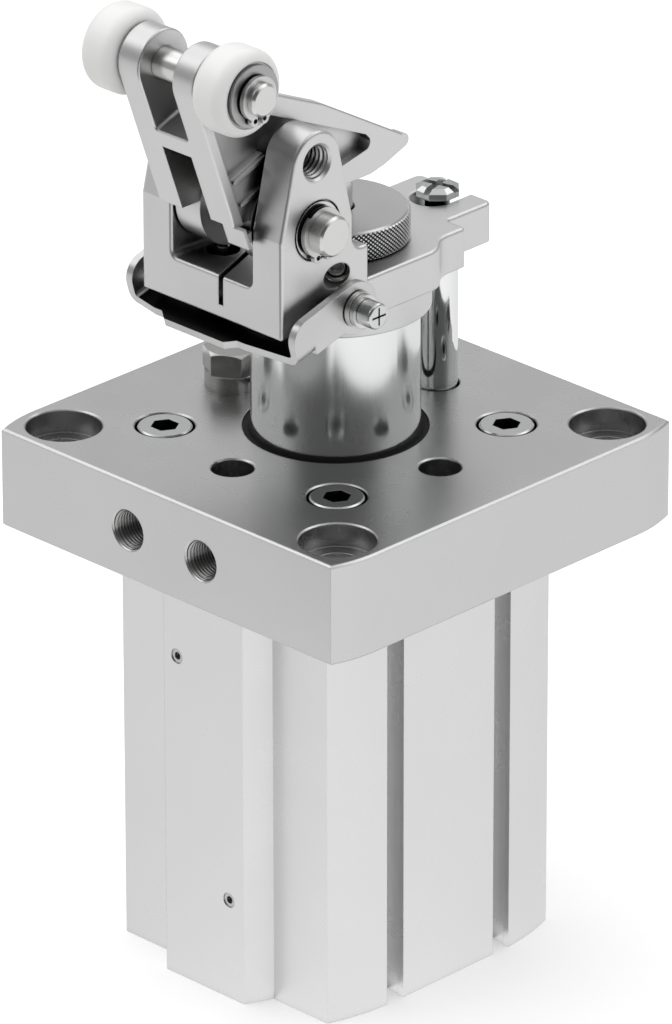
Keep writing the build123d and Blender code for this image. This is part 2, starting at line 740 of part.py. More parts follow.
# Yoke: the casting on the rod's head, with two ears for the lever and an arm for the guide rod
with BuildPart() as head_housing:
    with BuildSketch(level(h_skirt)):
        Circle(skirt_r)
    extrude(amount=h_yoke - h_skirt)
    with BuildSketch(level(h_base)):
        with BuildLine():
            waist_mid = ((yoke_half + waist_half) / 2, (waist_start_y + waist_end_y) / 2)
            Line((0, base_front_y), (yoke_half, base_front_y))
            Line((yoke_half, base_front_y), (yoke_half, waist_start_y))
            outer = TangentArc((yoke_half, waist_start_y), waist_mid, tangent=(0, 1))
            TangentArc(outer @ 1, (waist_half, waist_end_y), tangent=outer % 1)
            Polyline(
                (waist_half, waist_end_y),
                (waist_half, arm_step_y),
                (arm_half, arm_step_y),
                (arm_half, arm_end_y),
                (arm_slot_r, arm_end_y),
                (arm_slot_r, arm_slot_y),
            )
            ThreePointArc(
                (arm_slot_r, arm_slot_y),
                along((0, arm_slot_y), -45, arm_slot_r),
                (0, arm_slot_y - arm_slot_r),
            )
            Line((0, arm_slot_y - arm_slot_r), (0, base_front_y))
        make_face()
        mirror(about=Plane.YZ)
    extrude(amount=base_thickness)
    arm_corners = head_housing.edges().filter_by(Axis.Z)
    fillet(
        arm_corners.filter_by(
            lambda e: e.center().Y > arm_end_y - slip and abs(e.center().X) > arm_half - slip
        ),
        radius=arm_corner_fillet,
    )
    fillet(
        head_housing.edges()
        .filter_by(Axis.Z)
        .filter_by(lambda e: abs(e.center().Y - arm_step_y) < slip),
        radius=arm_step_fillet,
    )
    # Block under the lever, up to the floor between the ears
    with BuildSketch(level(h_yoke)):
        with Locations((0, (yoke_front_y + ear_back_y) / 2)):
            Rectangle(2 * yoke_half, ear_back_y - yoke_front_y)
    extrude(amount=h_floor - h_yoke)
    # Ears
    front_touch = tangent_point((yoke_front_y, h_ear_front_bend), ear_thread, ear_top_r, 1)
    back_touch = tangent_point((ear_neck_y, h_ear_back_bend), ear_thread, ear_top_r, -1)
    with BuildSketch(side_view(ear_inner)):
        with BuildLine():
            Polyline(back_touch, (ear_neck_y, h_ear_back_bend), (ear_neck_y, h_ear_ledge))
            Polyline(
                (ear_neck_y, h_ear_ledge),
                (ear_back_y, h_ear_ledge),
                (ear_back_y, h_floor - floor_step),
                (yoke_front_y, h_floor - floor_step),
                (yoke_front_y, h_ear_front_bend),
                front_touch,
            )
            ThreePointArc(front_touch, along(ear_thread, 90, ear_top_r), back_touch)
        make_face()
    extrude(amount=yoke_half - ear_inner)
    ledge_corner = (
        head_housing.edges()
        .filter_by(Axis.X)
        .filter_by(lambda e: abs(e.center().Y - ear_neck_y) < slip)
        .group_by(Axis.Z)[0]
    )
    fillet(ledge_corner, radius=ledge_fillet)
    floor_corner = head_housing.edges().filter_by(
        lambda e: at(e.center().X, ear_inner) and at(e.center().Z, deck + h_floor)
    )
    fillet(floor_corner, radius=floor_fillet)
    fillet(head_housing.edges().filter_by(is_cast_rim), radius=cast_edge)
    with BuildSketch(side_view(ear_inner)):
        with Locations(ear_thread):
            Circle(ear_thread_r)
    extrude(amount=yoke_half - ear_inner, mode=Mode.SUBTRACT)
    thread_ends = (
        head_housing.edges()
        .filter_by(GeomType.CIRCLE)
        .filter_by(lambda e: abs(e.radius - ear_thread_r) < slip)
    )
    chamfer(thread_ends.sort_by(Axis.X)[-1], length=ear_thread_mouth)
    with BuildSketch(side_view(ear_inner)):
        with Locations((pivot_y, h_pivot)):
            Circle(pin_r + slip)
    extrude(amount=yoke_half - ear_inner, mode=Mode.SUBTRACT)
    with BuildSketch(side_view(yoke_half)):
        with Locations((pivot_y, h_pivot)):
            Circle(pin_clip_recess_r)
    extrude(amount=-pin_clip_recess, mode=Mode.SUBTRACT)
    with BuildSketch(side_view(yoke_half)):
        with Locations((bail_y, h_bail)):
            Circle(bail_thread_r + slip)
    extrude(amount=-bail_thread_depth, mode=Mode.SUBTRACT)
    split(bisect_by=Plane.YZ, keep=Keep.TOP)
    mirror(about=Plane.YZ)
    # Round pocket that the knob turns in
    with BuildSketch(level(h_base_top)):
        Circle(knob_r + knob_pocket)
    extrude(amount=h_ear_ledge, mode=Mode.SUBTRACT)
    # Socket for the rod, and the hole for the knob's stem
    with BuildSketch(level(h_skirt)):
        Circle(rod_r + slip)
    extrude(amount=rod_socket_depth, mode=Mode.SUBTRACT)
    with BuildSketch(level(h_rod_top)):
        Circle(knob_stem_r + free)
    extrude(amount=h_base_top - h_rod_top, mode=Mode.SUBTRACT)
    # Cavity under the floor, and the hole in it for the locking pin
    with BuildSketch(level(h_yoke)):
        with Locations((0, (core_front_y + core_back_y) / 2)):
            Rectangle(2 * core_half, core_back_y - core_front_y)
    extrude(amount=h_core_top - h_yoke, mode=Mode.SUBTRACT)
    with BuildSketch(level(h_yoke)):
        with Locations((lock_pin_x, lock_pin_y)):
            Circle(lock_pin_r + running)
    extrude(amount=h_floor - h_yoke, mode=Mode.SUBTRACT)
    with BuildSketch(level(h_floor)):
        with Locations((lock_pin_x, lock_pin_y)):
            Circle(lock_pin_hole_r)
    extrude(amount=-lock_pin_hole_depth, mode=Mode.SUBTRACT)
    # Narrow relief slit from the front face to the knob's pocket
    slit_start = (slit_start_x, yoke_front_y)
    slit_angle = math.degrees(
        math.atan2(slit_end[1] - slit_start[1], slit_end[0] - slit_start[0])
    )
    with BuildSketch(level(h_slit_bottom)):
        with Locations(along(slit_start, slit_angle, slit_length / 2 - relief_slit)):
            Rectangle(slit_length, relief_slit, rotation=slit_angle)
    extrude(amount=h_floor - h_slit_bottom, mode=Mode.SUBTRACT)
    # Threaded hole for the set screw that holds the knob, aimed at the rod's axis
    lock_mouth = Plane(
        origin=(yoke_half, -yoke_half, deck + h_lock_screw),
        x_dir=(0, 0, 1),
        z_dir=(1, -1, 0),
    )
    with BuildSketch(lock_mouth.offset(lock_screw_r)):
        Circle(lock_screw_r + slip)
    mouth_reach = math.hypot(yoke_half, yoke_half)
    extrude(amount=-(mouth_reach + lock_screw_r - knob_r), mode=Mode.SUBTRACT)
save(head_housing, "head_housing")

# Set screw with a hexagon socket that holds the knob's setting
with BuildPart() as knob_lock_screw:
    lock_screw_back = mouth_reach - knob_r - 2 * free - lock_screw_length
    with BuildSketch(lock_mouth.offset(-lock_screw_back)):
        Circle(lock_screw_r)
    extrude(amount=-lock_screw_length)
    with BuildSketch(lock_mouth.offset(-lock_screw_back)):
        RegularPolygon(lock_screw_key / 2, 6, major_radius=False)
    extrude(amount=-lock_screw_key_depth, mode=Mode.SUBTRACT)
save(knob_lock_screw, "knob_lock_screw")

# Pin that the lever turns on, with a groove at each end for its clip
pin_groove_x = yoke_half + pin_clip_gap
with BuildPart() as lever_pin:
    with BuildSketch(cross_section(pivot_y, h_pivot)):
        with BuildLine():
            Polyline(
                (0, 0),
                (0, pin_r),
                (pin_groove_x, pin_r),
                (pin_groove_x, pin_r - clip_groove),
                (pin_groove_x + pin_clip_thickness, pin_r - clip_groove),
                (pin_groove_x + pin_clip_thickness, pin_r),
                (pin_half - pin_chamfer, pin_r),
                (pin_half, pin_r - pin_chamfer),
                (pin_half, 0),
                close=True,
            )
        make_face()
    revolve(axis=cross_axis(pivot_y, h_pivot))
    mirror(about=Plane.YZ)
save(lever_pin, "lever_pin")


def shaft_clip(plane, groove_r, outer_r, thickness):
    """Open ring with two drilled lugs that clips into a shaft's groove, gap downwards."""
    with BuildPart(mode=Mode.PRIVATE) as clip:
        with BuildSketch(plane):
            Circle(outer_r)
            lugs = [along((0, 0), -90 + turn, outer_r) for turn in (-clip_lug_angle, clip_lug_angle)]
            with Locations(lugs):
                Circle(clip_lug_r)
            Circle(groove_r + slip, mode=Mode.SUBTRACT)
            gap_half = outer_r * math.sin(math.radians(clip_lug_angle)) - clip_lug_r / 2
            with Locations((0, -outer_r)):
                Rectangle(2 * gap_half, outer_r, mode=Mode.SUBTRACT)
            with Locations(lugs):
                Circle(clip_lug_hole_r, mode=Mode.SUBTRACT)
        extrude(amount=thickness)
    return clip.part


def across(x, y, height):
    """Upright plane at x, centred on a cross axis."""
    return Plane(origin=(x, y, deck + height), x_dir=(0, 1, 0), z_dir=(1, 0, 0))


# Washers sunk in the ears, and the clips outside them
with BuildPart() as pin_washers:
    with BuildSketch(across(yoke_half - pin_clip_recess, pivot_y, h_pivot)):
        Circle(pin_clip_recess_r - pin_washer_play)
        Circle(pin_r + slip, mode=Mode.SUBTRACT)
    extrude(amount=pin_clip_recess)
    mirror(about=Plane.YZ)
save(pin_washers, "pin_washers")

with BuildPart() as pin_clips:
    clip_plane = across(pin_groove_x + slip, pivot_y, h_pivot)
    add(shaft_clip(clip_plane, pin_r - clip_groove, pin_clip_r, pin_clip_thickness - 2 * slip))
    mirror(about=Plane.YZ)
save(pin_clips, "pin_clips")

# Toggle lever: two legs with eyes for the roller axle, joined by a crossbar web, and a beak that
# reaches back over the absorber's plunger
eye = (axle_y, h_axle)
pivot = (pivot_y, h_pivot)
front_angle = math.degrees(
    math.atan2(h_axle - lever_foot[1], axle_y - lever_foot[0])
    + math.asin(eye_r / math.dist(lever_foot, eye))
)
back_angle = front_angle - 90


def lever_view(x):
    """Side view of the lever from its foot: across is back from its front edge, up is along it."""
    heading = math.radians(back_angle)
    return Plane(
        origin=(x, lever_foot[0], deck + lever_foot[1]),
        x_dir=(0, math.cos(heading), math.sin(heading)),
        z_dir=(1, 0, 0),
    )


def in_lever(point):
    """Place in the lever's side view of a point given across and above the deck."""
    heading = math.radians(back_angle)
    across_y = point[0] - lever_foot[0]
    above = point[1] - lever_foot[1]
    return (
        across_y * math.cos(heading) + above * math.sin(heading),
        above * math.cos(heading) - across_y * math.sin(heading),
    )


top_corner = in_lever(eye)
knee = in_lever(beak_knee)
top_slope = math.atan2(knee[1] - top_corner[1], knee[0] - top_corner[0])


def under_top(up, depth):
    """How far back a line lies that runs at a depth under the lever's top edge, at a height."""
    down = up + depth / math.cos(top_slope)
    return top_corner[0] + (down - top_corner[1]) / math.tan(top_slope)


def on_line(edge, start, end):
    """Whether an edge's middle lies on the line through two places of the side view."""
    y, height = edge.center().Y, edge.center().Z - deck
    cross = (end[0] - start[0]) * (height - start[1]) - (end[1] - start[1]) * (y - start[0])
    return abs(cross) < slip * math.dist(start, end)


def is_lever_rim(edge):
    """Whether an edge of the lever runs up its front, round an eye or down its top."""
    reach = abs(edge.center().X)
    round_eye = edge.geom_type == GeomType.CIRCLE and at(edge.radius, eye_r)
    front_or_eye = round_eye or on_line(edge, lever_foot, eye_front)
    top = on_line(edge, eye, beak_knee) or on_line(edge, beak_knee, beak_nose_top)
    return at(reach, lever_half, fork_half) and front_or_eye or at(reach, lever_half) and top


def back_to(place_y, up):
    """How far back from the front edge the upright plane at place_y lies, at a height up it."""
    heading = math.radians(back_angle)
    return (place_y - lever_foot[0] + up * math.sin(heading)) / math.cos(heading)


eye_front = tangent_point(lever_foot, eye, eye_r, 1)
with BuildPart() as lever:
    with BuildSketch(side_view(-lever_half)):
        with BuildLine():
            Polyline(lever_foot, eye_front, eye, beak_knee, beak_nose_top)
            ThreePointArc(beak_nose_top, beak_nose, beak_nose_low)
            Polyline(
                beak_nose_low,
                beak_belly,
                beak_sole,
                beak_root,
                pivot,
                (pivot_y, lever_foot[1]),
                lever_foot,
            )
        make_face()
        with Locations(eye):
            Circle(eye_r)
        with Locations(pivot):
            Circle(hub_r)
    extrude(amount=2 * lever_half)
    # Fork between the eyes, down to the crossbar
    with BuildSketch(lever_view(-fork_half)):
        with Locations((0, crossbar_up)):
            Rectangle(inf_cut, inf_cut, align=(Align.CENTER, Align.MIN))
    extrude(amount=2 * fork_half, mode=Mode.SUBTRACT)
    square_to_front = Axis(lever_view(0).origin, lever_view(0).x_dir)
    fork_corners = (
        lever.edges()
        .filter_by(square_to_front)
        .filter_by(lambda e: abs(abs(e.center().X) - fork_half) < slip)
    )
    fillet(fork_corners, radius=fork_fillet)
    # Channel behind the crossbar, under the top skin
    crossbar_low = crossbar_up - crossbar_thickness
    channel_top = top_corner[1] + (channel_back - top_corner[0]) * math.tan(top_slope)
    with BuildSketch(lever_view(-lever_channel)):
        with BuildLine():
            Polyline(
                (-hub_r, crossbar_low),
                (under_top(crossbar_low, channel_skin), crossbar_low),
                (channel_back, channel_top - channel_skin / math.cos(top_slope)),
                (channel_back, -2 * hub_r),
                (-hub_r, -2 * hub_r),
                close=True,
            )
        make_face()
    extrude(amount=2 * lever_channel, mode=Mode.SUBTRACT)
    # The left hub is wide, and the right one is a thin cheek
    with BuildSketch(side_view(-lever_half)):
        with Locations(pivot):
            Circle(hub_r)
    extrude(amount=lever_half - left_hub_inner)
    with BuildSketch(side_view(-left_hub_inner)):
        with Locations((pivot_y, lever_foot[1])):
            Rectangle(2 * hub_r + slip, 2 * hub_r, align=(Align.CENTER, Align.MAX))
    extrude(amount=left_hub_inner + right_hub_inner, mode=Mode.SUBTRACT)
    # Stop that meets the right ear's front face: a lip in the lever's front plane, a core behind it
    # and a web from the core to the hub
    lip_low = -stop_lip_drop
    core_high = -stop_core_drop
    with BuildSketch(lever_view(right_hub_inner)):
        with Locations((0, 0)):
            Rectangle(stop_lip, stop_lip_drop, align=(Align.MIN, Align.MAX))
    extrude(amount=stop_lip_outer - right_hub_inner)
    with BuildSketch(lever_view(right_hub_inner)):
        with BuildLine():
            Polyline(
                (0, core_high),
                (0, lip_low),
                (back_to(yoke_front_y - stop_gap, lip_low), lip_low),
                (back_to(yoke_front_y - stop_gap, core_high), core_high),
                close=True,
            )
        make_face()
    extrude(amount=stop_core_outer - right_hub_inner)
    with BuildSketch(lever_view(right_hub_inner)):
        with BuildLine():
            Polyline((0, core_high), (0, lip_low), in_lever(pivot), close=True)
        make_face()
    extrude(amount=lever_half - right_hub_inner)
    # The beak's top is lower beside the right cheek
    step_top = h_axle + (beak_step_y - axle_y) * (beak_knee[1] - h_axle) / (beak_knee[0] - axle_y)
    with BuildSketch(side_view(-lever_half)):
        with BuildLine():
            Polyline(
                (beak_step_y, h_axle),
                (beak_step_y, step_top - beak_step),
                (beak_knee[0], beak_knee[1] - beak_step),
                (beak_nose_top[0], beak_nose_top[1] - beak_step),
                (beak_nose_top[0] + eye_r, beak_nose_top[1] - beak_step - eye_r / 2),
                (beak_nose_top[0] + eye_r, h_axle),
                close=True,
            )
        make_face()
    extrude(amount=lever_half + right_hub_inner, mode=Mode.SUBTRACT)
    # Pockets in both sides: a deep one above and a shallow one with two ribs at the foot
    pocket_start = under_top(pocket_head, top_rim)
    pocket_low = rib_places[-1] + rib_width
    foot_reach = pocket_low + stop_core_drop - free
    for outer, inward in ((lever_half, -1), (-lever_half, 1)):
        with BuildSketch(lever_view(outer)) as pocket:
            with BuildLine():
                Polyline(
                    (front_rim, pocket_low),
                    (front_rim, pocket_head),
                    (pocket_start, pocket_head),
                    *pocket_tip,
                    pocket_sole,
                    in_lever(pivot),
                    (in_lever(pivot)[0], pocket_low),
                    close=True,
                )
            make_face()
            rounded = pocket.vertices().filter_by(
                lambda v: v.X > pocket_sole[0] + slip or v.Y > pocket_head - slip
            )
            fillet(rounded, radius=pocket_fillet)
            with Locations(in_lever(pivot)):
                Circle(hub_r, mode=Mode.SUBTRACT)
        extrude(amount=inward * pocket_depth, mode=Mode.SUBTRACT)
        for depth, ribs in (
            (lower_pocket_depth - rib_height, ()),
            (lower_pocket_depth, rib_places),
        ):
            with BuildSketch(lever_view(outer)):
                with Locations((front_rim, pocket_low)):
                    Rectangle(in_lever(pivot)[0], foot_reach, align=(Align.MIN, Align.MAX))
                with Locations(in_lever(pivot)):
                    Circle(hub_r, mode=Mode.SUBTRACT)
                for place in ribs:
                    with Locations((front_rim + rib_gap + rib_length / 2, place)):
                        SlotOverall(rib_length, rib_width, mode=Mode.SUBTRACT)
            extrude(amount=inward * depth, mode=Mode.SUBTRACT)
    # Bores for the pin and the roller axle
    with BuildSketch(side_view(-lever_half)):
        with Locations(pivot):
            Circle(pin_r + running)
        with Locations(eye):
            Circle(axle_r + slip)
    extrude(amount=2 * lever_half, mode=Mode.SUBTRACT)
    fillet(lever.edges().filter_by(is_lever_rim), radius=lever_edge)
save(lever, "lever")

# Axle of the rollers, with a groove at each end for its clip
washer_end = roller_outer + roller_washer
axle_groove_x = washer_end + roller_clip_gap
with BuildPart() as roller_axle:
    with BuildSketch(cross_section(axle_y, h_axle)):
        with BuildLine():
            Polyline(
                (0, 0),
                (0, axle_r),
                (axle_groove_x, axle_r),
                (axle_groove_x, axle_r - clip_groove),
                (axle_groove_x + pin_clip_thickness, axle_r - clip_groove),
                (axle_groove_x + pin_clip_thickness, axle_r),
                (axle_half - pin_chamfer, axle_r),
                (axle_half, axle_r - pin_chamfer),
                (axle_half, 0),
                close=True,
            )
        make_face()
    revolve(axis=cross_axis(axle_y, h_axle))
    mirror(about=Plane.YZ)
save(roller_axle, "roller_axle")

# Plastic rollers on both ends of the axle
for label, mirrored in (("roller_right", False), ("roller_left", True)):
    with BuildPart() as roller:
        with BuildSketch(cross_section(axle_y, h_axle)) as roller_section:
            with Locations(((roller_inner + roller_outer) / 2, roller_r / 2)):
                Rectangle(roller_outer - roller_inner, roller_r)
            fillet(roller_section.vertices().group_by(Axis.Y)[-1], radius=roller_rounding)
            Rectangle(inf_cut, 2 * (axle_r + running), mode=Mode.SUBTRACT)
            with Locations((roller_outer, axle_r)):
                Rectangle(2 * roller_recess, 2 * (roller_recess_r - axle_r), mode=Mode.SUBTRACT)
        revolve(axis=cross_axis(axle_y, h_axle))
        if mirrored:
            mirror(about=Plane.YZ, mode=Mode.REPLACE)
    save(roller, label)

# Washers and clips that keep the rollers on the axle
with BuildPart() as roller_washers:
    with BuildSketch(across(roller_outer - roller_recess + 2 * slip, axle_y, h_axle)):
        Circle(roller_washer_r)
        Circle(axle_r + slip, mode=Mode.SUBTRACT)
    extrude(amount=roller_washer + roller_recess - 2 * slip)
    mirror(about=Plane.YZ)
save(roller_washers, "roller_washers")

with BuildPart() as roller_clips:
    clip_plane = across(axle_groove_x + slip, axle_y, h_axle)
    add(shaft_clip(clip_plane, axle_r - clip_groove, roller_clip_r, pin_clip_thickness - 2 * slip))
    mirror(about=Plane.YZ)
save(roller_clips, "roller_clips")

# Shock absorber in the hollow rod, its plunger under the beak, and the knob that sets it
h_absorber_top = h_rod_top - free
with BuildPart() as absorber_body:
    with BuildSketch(level(h_absorber_top)):
        Circle(absorber_r)
    extrude(amount=-absorber_length)
    with BuildSketch(level(h_absorber_top)):
        Circle(plunger_r + running)
    extrude(amount=-(absorber_length - absorber_r), mode=Mode.SUBTRACT)
save(absorber_body, "absorber_body")

with BuildPart() as plunger:
    with BuildSketch(level(h_plunger_top)):
        Circle(plunger_r)
    extrude(amount=-plunger_length)
    fillet(plunger.edges().group_by(Axis.Z)[-1], radius=plunger_crown)
save(plunger, "plunger")

with BuildPart() as adjuster_knob:
    with BuildSketch(level(h_base_top + slip)):
        Circle(knob_r)
    extrude(amount=knob_height)
    chamfer(adjuster_knob.edges(), length=knob_edge)
    with BuildSketch(level(h_base_top + slip)):
        Circle(knob_stem_r)
    extrude(amount=-(h_base_top - h_rod_top))
    with BuildSketch(level(h_rod_top)):
        Circle(plunger_r + free)
    extrude(amount=h_floor, mode=Mode.SUBTRACT)
save(adjuster_knob, "adjuster_knob")

# Guide rod that keeps the yoke from turning, and the slotted screw that clamps it to the arm
with BuildPart() as guide_rod:
    with BuildSketch(level(-guide_end_depth)):
        with Locations((0, guide_circle_r)):
            Circle(guide_r)
    extrude(amount=h_base + guide_end_depth)
    chamfer(guide_rod.edges().group_by(Axis.Z)[0], length=piston_chamfer)
    with BuildSketch(level(h_base)):
        with Locations((0, guide_circle_r)):
            Circle(guide_neck_r)
    extrude(amount=base_thickness - slip)
    with BuildSketch(level(h_base_top)):
        with Locations((0, guide_circle_r)):
            Circle(guide_screw_thread_r + slip)
    extrude(amount=-guide_screw_length - slip, mode=Mode.SUBTRACT)
save(guide_rod, "guide_rod")

with BuildPart() as guide_rod_screw:
    with BuildSketch(level(h_base_top)):
        with Locations((0, guide_circle_r)):
            Circle(guide_screw_r)
    extrude(amount=guide_screw_head)
    chamfer(guide_rod_screw.edges().group_by(Axis.Z)[-1], length=guide_screw_bevel)
    with BuildSketch(level(h_base_top + guide_screw_head)):
        with Locations((0, guide_circle_r)):
            for turn in (guide_screw_turn, guide_screw_turn + 90):
                Rectangle(3 * guide_screw_r, guide_screw_slot, rotation=turn)
    extrude(amount=-guide_screw_slot_depth, mode=Mode.SUBTRACT)
    with BuildSketch(level(h_base_top)):
        with Locations((0, guide_circle_r)):
            Circle(guide_screw_thread_r)
    extrude(amount=-guide_screw_length)
save(guide_rod_screw, "guide_rod_screw")


def bail_view(x):
    """Side view of the bail from its hinge, leaning with its arms: across is towards the back."""
    heading = math.radians(bail_tilt)
    return Plane(
        origin=(x, bail_y, deck + h_bail),
        x_dir=(0, math.cos(heading), math.sin(heading)),
        z_dir=(1, 0, 0),
    )


def bail_section(back):
    """Cross section of the bail at a place along its arms: across is X, up is the drop."""
    heading = math.radians(bail_tilt)
    return Plane(
        origin=(0, bail_y + back * math.cos(heading), deck + h_bail + back * math.sin(heading)),
        x_dir=(1, 0, 0),
        z_dir=(0, math.cos(heading), math.sin(heading)),
    )


def bail_floor(drop):
    """Plan view of the bail's plate at a depth under its hinge: across is X, up is the back."""
    heading = math.radians(bail_tilt)
    return Plane(
        origin=(
            0,
            bail_y + drop * math.sin(heading),
            deck + h_bail - drop * math.cos(heading),
        ),
        x_dir=(1, 0, 0),
        z_dir=(0, -math.sin(heading), math.cos(heading)),
    )


# Release bail: sheet bent into a U round the yoke, with a finger tongue in front and a tab under
# the locking pin
with BuildPart() as release_bail:
    with BuildSketch(bail_view(bail_arm_inner)):
        with BuildLine():
            Line((0, bail_eye_r), (bail_corner_r - bail_front, bail_eye_r))
            RadiusArc(
                (bail_corner_r - bail_front, bail_eye_r),
                (-bail_front, bail_eye_r - bail_corner_r),
                -bail_corner_r,
            )
            Line((-bail_front, bail_eye_r - bail_corner_r), (-bail_front, -bail_drop))
            Line((-bail_front, -bail_drop), (0, -bail_drop))
            Line((0, -bail_drop), (0, bail_eye_r))
        make_face()
        Circle(bail_eye_r)
        Circle(bail_bush_r + running, mode=Mode.SUBTRACT)
    extrude(amount=bail_sheet)
    mirror(about=Plane.YZ)
    bail_half = bail_arm_inner + bail_sheet
    with BuildSketch(bail_floor(bail_drop)):
        with BuildLine():
            Polyline(
                (-bail_half, -bail_plate_back),
                (-bail_half, -bail_front),
                (bail_bend_r - bail_half, -bail_front),
                (tongue_left - 2 * tongue_jog, -bail_front - bail_lip),
                (tongue_left - tongue_jog, -bail_front - bail_lip),
                (tongue_left, -bail_front - tongue_reach),
                (tongue_right, -bail_front - tongue_reach),
                (tongue_right + tongue_jog, -bail_front - bail_lip),
                (tongue_right + 2 * tongue_jog, -bail_front - bail_lip),
                (bail_half - bail_bend_r, -bail_front),
                (bail_half, -bail_front),
                (bail_half, -bail_plate_back),
                close=True,
            )
        make_face()
        with Locations((lock_pin_x, -bail_plate_back)):
            Rectangle(2 * tab_half, bail_plate_back - tab_back, align=(Align.CENTER, Align.MIN))
    extrude(amount=bail_sheet)
    # Rounded bends between the plate and the arms
    bends = [(side * (bail_half - bail_bend_r), bail_drop - bail_bend_r) for side in (-1, 1)]
    corner_squares = (Align.MAX, Align.MIN), (Align.MIN, Align.MIN)
    for bend, square in zip(bends, corner_squares):
        with BuildSketch(bail_section(-bail_front)):
            with Locations(bend):
                Rectangle(bail_bend_r, bail_bend_r, align=square)
        extrude(amount=bail_front - bail_plate_back, mode=Mode.SUBTRACT)
        with BuildSketch(bail_section(-bail_front)):
            with Locations(bend):
                Circle(bail_bend_r)
                Circle(bail_bend_r - bail_sheet, mode=Mode.SUBTRACT)
                Rectangle(bail_bend_r, bail_bend_r, align=square, mode=Mode.INTERSECT)
        extrude(amount=bail_front - bail_plate_back)
save(release_bail, "release_bail")

# Flanged bushes that the bail's arms turn on
bail_arm_outer = bail_arm_inner + bail_sheet
with BuildPart() as bail_bushes:
    with BuildSketch(across(yoke_half, bail_y, h_bail)):
        Circle(bail_collar_r)
    extrude(amount=bail_arm_inner - yoke_half - free)
    with BuildSketch(across(yoke_half, bail_y, h_bail)):
        Circle(bail_bush_r)
    extrude(amount=bail_arm_outer + free - yoke_half)
    with BuildSketch(across(yoke_half, bail_y, h_bail)):
        Circle(bail_thread_r + slip)
    extrude(amount=inf_cut, mode=Mode.SUBTRACT)
    mirror(about=Plane.YZ)
save(bail_bushes, "bail_bushes")

# Washers outside the arms
bail_washers_start = bail_arm_outer + free
bail_washers_end = bail_washers_start + bail_washer_count * bail_washer
with BuildPart() as bail_washers:
    for place in range(bail_washer_count):
        with BuildSketch(across(bail_washers_start + place * bail_washer, bail_y, h_bail)):
            Circle(bail_collar_r - place * free)
            Circle(bail_thread_r + slip, mode=Mode.SUBTRACT)
        extrude(amount=bail_washer - bail_washer_gap)
    mirror(about=Plane.YZ)
save(bail_washers, "bail_washers")

# Screws with a cross recess that hold the bail to the yoke
with BuildPart() as bail_screws:
    with BuildSketch(across(bail_washers_end, bail_y, h_bail)):
        Circle(bail_screw_head_r)
    extrude(amount=bail_screw_face - bail_washers_end)
    fillet(bail_screws.edges().group_by(Axis.X)[-1], radius=bail_head_rounding)
    with BuildSketch(across(bail_screw_face, bail_y, h_bail)):
        Rectangle(*bail_cross)
        Rectangle(*bail_cross, rotation=90)
    extrude(amount=-bail_cross_depth, mode=Mode.SUBTRACT)
    with BuildSketch(across(yoke_half - bail_thread_depth + slip, bail_y, h_bail)):
        Circle(bail_thread_r)
    extrude(amount=bail_washers_end - yoke_half + bail_thread_depth - slip)
    mirror(about=Plane.YZ)
save(bail_screws, "bail_screws")

# Locking pin under the lever, carried by the bail's tab
tab_heading = math.radians(bail_tilt)
tab_top = bail_sheet - bail_drop
pin_back_y = lock_pin_y + lock_pin_r
tab_at_pin = (pin_back_y - bail_y + tab_top * math.sin(tab_heading)) / math.cos(tab_heading)
h_tab = h_bail + tab_at_pin * math.sin(tab_heading) + tab_top * math.cos(tab_heading)
with BuildPart() as lock_pin:
    with BuildSketch(level(h_tab + lock_pin_gap)):
        with Locations((lock_pin_x, lock_pin_y)):
            Circle(lock_pin_r)
    extrude(amount=h_floor + lock_pin_rise - h_tab - lock_pin_gap)
    chamfer(lock_pin.edges(), length=mouth_break)
    with BuildSketch(level(h_floor - lock_pin_hole_depth + slip)):
        with Locations((lock_pin_x, lock_pin_y)):
            Circle(lock_pin_collar_r)
    extrude(amount=lock_pin_collar)
save(lock_pin, "lock_pin")
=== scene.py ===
# Looks of the stopper cylinder: finishes, fine threads, knurling, studio light and camera.
import json
import math

import bmesh
import bpy
from mathutils import Matrix, Vector


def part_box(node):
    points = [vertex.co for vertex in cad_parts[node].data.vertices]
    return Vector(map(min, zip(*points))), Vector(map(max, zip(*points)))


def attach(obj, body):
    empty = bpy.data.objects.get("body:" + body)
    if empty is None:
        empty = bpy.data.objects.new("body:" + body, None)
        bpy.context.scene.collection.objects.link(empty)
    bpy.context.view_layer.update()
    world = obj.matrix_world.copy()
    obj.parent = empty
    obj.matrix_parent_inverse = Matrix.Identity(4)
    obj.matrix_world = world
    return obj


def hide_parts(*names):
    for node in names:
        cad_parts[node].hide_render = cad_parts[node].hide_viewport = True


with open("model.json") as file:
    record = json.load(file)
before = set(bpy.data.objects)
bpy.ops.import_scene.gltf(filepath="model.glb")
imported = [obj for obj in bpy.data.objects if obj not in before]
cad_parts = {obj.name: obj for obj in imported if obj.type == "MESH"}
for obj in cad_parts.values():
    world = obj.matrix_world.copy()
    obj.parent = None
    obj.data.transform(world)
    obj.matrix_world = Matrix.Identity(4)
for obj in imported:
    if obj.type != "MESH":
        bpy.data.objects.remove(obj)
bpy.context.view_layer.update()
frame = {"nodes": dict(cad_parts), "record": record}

MM = 0.001
floor_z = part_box("barrel_profile")[0].z

# Camera: the photograph's place in metres, direction and roll in degrees, and lens
camera_place = Vector((1.4472, -1.4652, 0.9613))
camera_azimuth = -45.355
camera_elevation = 24.969
camera_roll = 0.078
camera_lens = 339.65
camera_sensor = 36.0
camera_reach = 50.0


